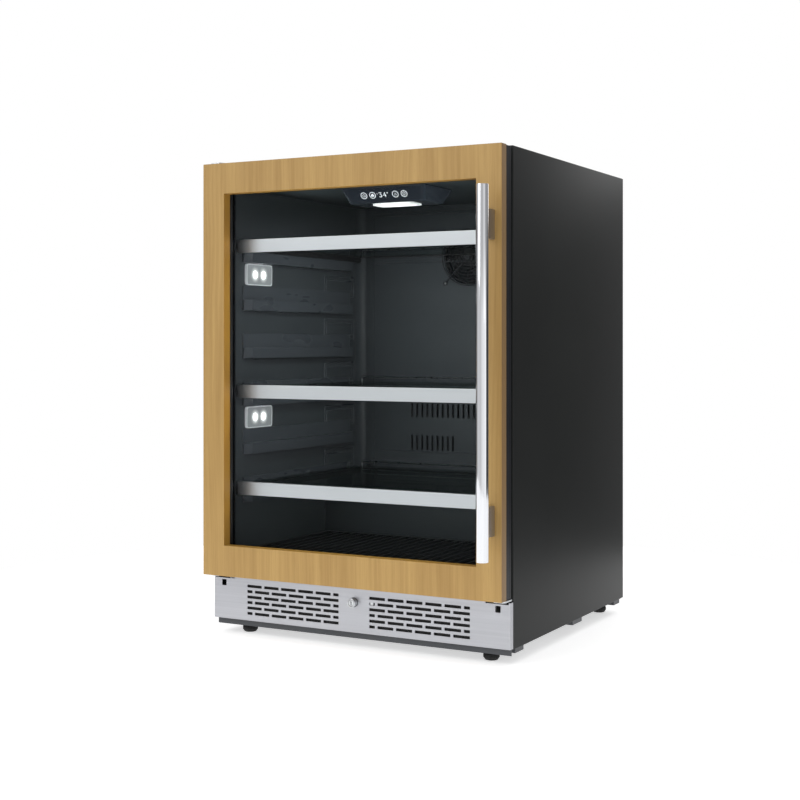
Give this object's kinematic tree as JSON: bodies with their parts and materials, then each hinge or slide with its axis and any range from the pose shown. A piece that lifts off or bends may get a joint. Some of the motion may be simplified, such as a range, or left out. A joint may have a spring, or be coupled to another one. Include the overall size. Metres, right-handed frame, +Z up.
{
  "type": "undercounter refrigerator",
  "caption": "Undercounter refrigerator with a left-hinged glass door in a wooden overlay frame, bar handle, glass shelves, slotted kick plate with lock, and levelling feet.",
  "frame": {"origin": "on the floor, under the middle of the object's bounding box", "axes": "+Z up; the door faces -Y; +X to the right of someone facing the door, the handle's side"},
  "size_m": [0.595, 0.6346, 0.8633],
  "materials": {
    "black_steel": "satin",
    "grey_steel": "satin",
    "black_wire": "satin",
    "compressor_paint": "gloss",
    "black_door_frame": "satin",
    "liner_plastic": "satin",
    "black_plastic": "satin",
    "shelf_frame_plastic": "satin",
    "gloss_black_plastic": "gloss",
    "foam": "matte",
    "fin_metal": "satin",
    "aluminium_trim": "satin",
    "stainless": "satin",
    "stainless_polished": "satin",
    "zinc": "satin",
    "copper_tube": "satin",
    "overlay_wood": "satin",
    "panel_glass": "gloss",
    "door_glass": "polished",
    "shelf_glass": "polished",
    "light_lens": "gloss",
    "gasket_rubber": "matte",
    "foot_rubber": "matte"
  },
  "bodies": {
    "cabinet": {"back_panel": "black_steel", "base_pan": "grey_steel", "bottom_hinge": "zinc", "ceiling_light": "light_lens", "compressor": "compressor_paint", "condenser_coil": "fin_metal", "condenser_fan_frame": "black_plastic", "control_housing": "gloss_black_plastic", "control_panel": "panel_glass", "drip_tray": "black_plastic", "evaporator_coil": "fin_metal", "evaporator_fan_frame": "black_plastic", "fan_guard": "black_wire", "floor_rack": "black_plastic", "foam_insulation": "foam", "inner_liner": "liner_plastic", "kick_plate": "stainless", "left_light_lower": "light_lens", "left_light_upper": "light_lens", "lock_barrel": "zinc", "machine_cover": "black_steel", "machine_room_panel": "black_steel", "outer_case": "black_steel", "power_inlet": "black_plastic", "rear_duct_cover": "liner_plastic", "refrigerant_tube": "copper_tube", "right_light_lower": "light_lens", "right_light_upper": "light_lens", "spare_hinge": "zinc", "temperature_sensor": "black_plastic", "top_hinge": "zinc"},
    "door": {"wood_overlay": "overlay_wood", "door_frame": "black_door_frame", "outer_glass": "door_glass", "inner_glass": "door_glass", "glass_spacer": "black_plastic", "door_gasket": "gasket_rubber", "handle_tube": "stainless_polished", "upper_handle_bracket": "stainless", "lower_handle_bracket": "stainless", "top_hinge_bush": "black_plastic", "bottom_hinge_bush": "black_plastic"},
    "upper_shelf": {"upper_shelf_glass": "shelf_glass", "upper_shelf_trim": "aluminium_trim", "upper_shelf_frame": "shelf_frame_plastic"},
    "middle_shelf": {"middle_shelf_glass": "shelf_glass", "middle_shelf_trim": "aluminium_trim", "middle_shelf_frame": "shelf_frame_plastic"},
    "lower_shelf": {"lower_shelf_glass": "shelf_glass", "lower_shelf_trim": "aluminium_trim", "lower_shelf_frame": "shelf_frame_plastic"},
    "lock": {"lock_plug": "zinc", "lock_cam": "zinc"},
    "evaporator_fan": {"evaporator_fan_rotor": "black_plastic"},
    "condenser_fan": {"condenser_fan_rotor": "black_plastic"},
    "front_left_foot": {"front_left_foot": "foot_rubber"},
    "front_right_foot": {"front_right_foot": "foot_rubber"},
    "rear_left_foot": {"rear_left_foot": "foot_rubber"},
    "rear_right_foot": {"rear_right_foot": "foot_rubber"}
  },
  "joints": [
    {"name": "door_hinge", "type": "hinge", "parent": "cabinet", "child": "door", "pos_m": [-0.285, -0.2398, 0.485], "axis": [0, 0, -1], "range_deg": [0, 105]},
    {"name": "upper_shelf_slide", "type": "slide", "parent": "cabinet", "child": "upper_shelf", "axis": [0, -1, 0], "range_m": [0, 0.007]},
    {"name": "middle_shelf_slide", "type": "slide", "parent": "cabinet", "child": "middle_shelf", "axis": [0, -1, 0], "range_m": [0, 0.007]},
    {"name": "lower_shelf_slide", "type": "slide", "parent": "cabinet", "child": "lower_shelf", "axis": [0, -1, 0], "range_m": [0, 0.007]},
    {"name": "lock_turn", "type": "hinge", "parent": "cabinet", "child": "lock", "pos_m": [0, -0.2443, 0.0811], "axis": [0, -1, 0], "range_deg": [0, 90]},
    {"name": "evaporator_fan_spin", "type": "hinge", "parent": "cabinet", "child": "evaporator_fan", "pos_m": [0, 0.2477, 0.7078], "axis": [0, 1, 0], "continuous": true},
    {"name": "condenser_fan_spin", "type": "hinge", "parent": "cabinet", "child": "condenser_fan", "pos_m": [-0.078, 0.22555, 0.0894], "axis": [1, 0, 0], "continuous": true},
    {"name": "front_left_foot_level", "type": "slide", "parent": "cabinet", "child": "front_left_foot", "axis": [0, 0, -1], "range_m": [0, 0.02]},
    {"name": "front_right_foot_level", "type": "slide", "parent": "cabinet", "child": "front_right_foot", "axis": [0, 0, -1], "range_m": [0, 0.02]},
    {"name": "rear_left_foot_level", "type": "slide", "parent": "cabinet", "child": "rear_left_foot", "axis": [0, 0, -1], "range_m": [0, 0.02]},
    {"name": "rear_right_foot_level", "type": "slide", "parent": "cabinet", "child": "rear_right_foot", "axis": [0, 0, -1], "range_m": [0, 0.02]}
  ]
}
